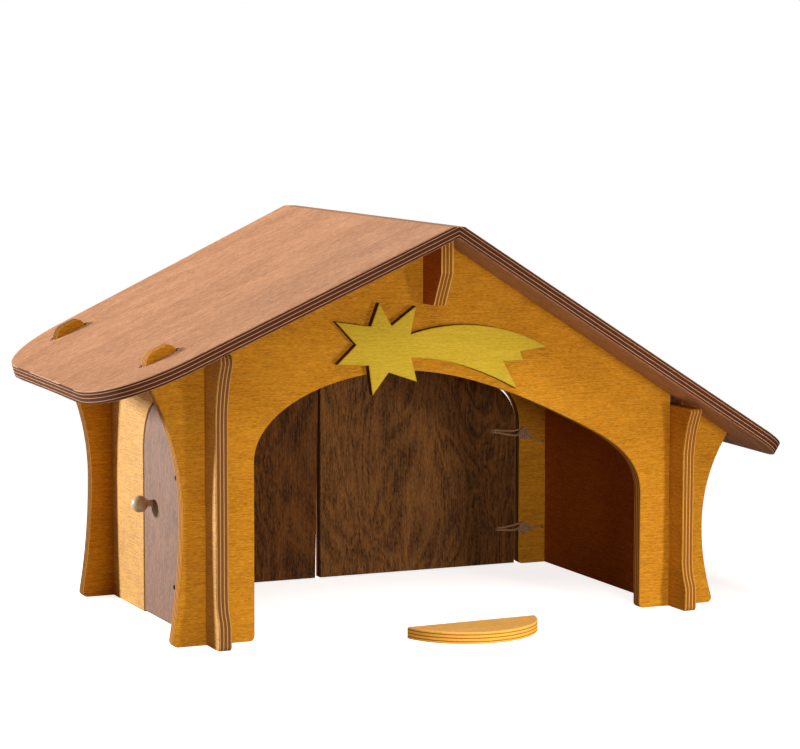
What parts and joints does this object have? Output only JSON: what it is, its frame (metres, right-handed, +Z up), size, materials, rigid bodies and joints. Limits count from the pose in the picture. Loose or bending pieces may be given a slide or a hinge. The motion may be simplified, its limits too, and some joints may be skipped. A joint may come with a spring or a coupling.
{
  "type": "toy nativity stable",
  "caption": "Plywood toy stable with a lift-off gable roof, open arched front, comet star, double rear door and arched side door on cord hinges, with a loose half-round board.",
  "frame": {"origin": "on the floor, in the middle of the whole model's outer box seen from above", "axes": "+X to the right seen from the open front, +Y from the front to the rear, +Z up"},
  "size_m": [0.505, 0.337, 0.277],
  "materials": {
    "gable_ply": "satin oil and amber stain, light and dark ply lines on the edges",
    "roof_ply": "satin oil and reddish brown stain, striped ply edges",
    "door_ply": "satin oil and grey-brown stain, grain upright",
    "star_ply": "satin oil and yellow stain",
    "stand_ply": "satin oil, clear, striped ply edge",
    "knob_wood": "satin oil, turned ball",
    "peg_wood": "satin oil, round peg",
    "hinge_cord": "matt twisted natural cord"
  },
  "bodies": {
    "stable": {"front_wall": "gable_ply", "rear_wall": "gable_ply", "left_side_wall": "gable_ply", "right_side_wall": "gable_ply", "ridge_beam": "gable_ply", "comet_star": "star_ply", "cord_wall_right": "hinge_cord", "cord_wall_left": "hinge_cord", "cord_wall_side": "hinge_cord"},
    "roof": {"roof_panel_left": "roof_ply", "roof_panel_right": "roof_ply"},
    "side_door": {"side_door_leaf": "door_ply", "side_door_knob": "knob_wood", "side_door_peg": "peg_wood", "cord_leaf_side": "hinge_cord"},
    "rear_door_left": {"rear_door_left_leaf": "door_ply", "rear_door_left_knob": "knob_wood", "rear_door_left_peg": "peg_wood", "cord_leaf_left": "hinge_cord"},
    "rear_door_right": {"rear_door_right_leaf": "door_ply", "rear_door_right_knob": "knob_wood", "rear_door_right_peg": "peg_wood", "cord_leaf_right": "hinge_cord"},
    "board": {"half_round_stand": "stand_ply"}
  },
  "joints": [
    {"name": "roof_lift", "type": "slide", "parent": "stable", "child": "roof", "axis": [0, 0, 1], "range_m": [0, 0.08]},
    {"name": "side_door_hinge", "type": "hinge", "parent": "stable", "child": "side_door", "pos_m": [-0.16196, -0.05592, 0.065], "axis": [0, 0, -1], "range_deg": [0, 95]},
    {"name": "rear_door_left_hinge", "type": "hinge", "parent": "stable", "child": "rear_door_left", "pos_m": [-0.13917, 0.09578, 0.065], "axis": [0, 0, -1], "range_deg": [0, 95]},
    {"name": "rear_door_right_hinge", "type": "hinge", "parent": "stable", "child": "rear_door_right", "pos_m": [0.15484, 0.09578, 0.065], "axis": [0, 0, 1], "range_deg": [0, 85]},
    {"name": "board_lift", "type": "slide", "parent": "stable", "child": "board", "axis": [0, 0, 1], "range_m": [0, 0.05]}
  ]
}
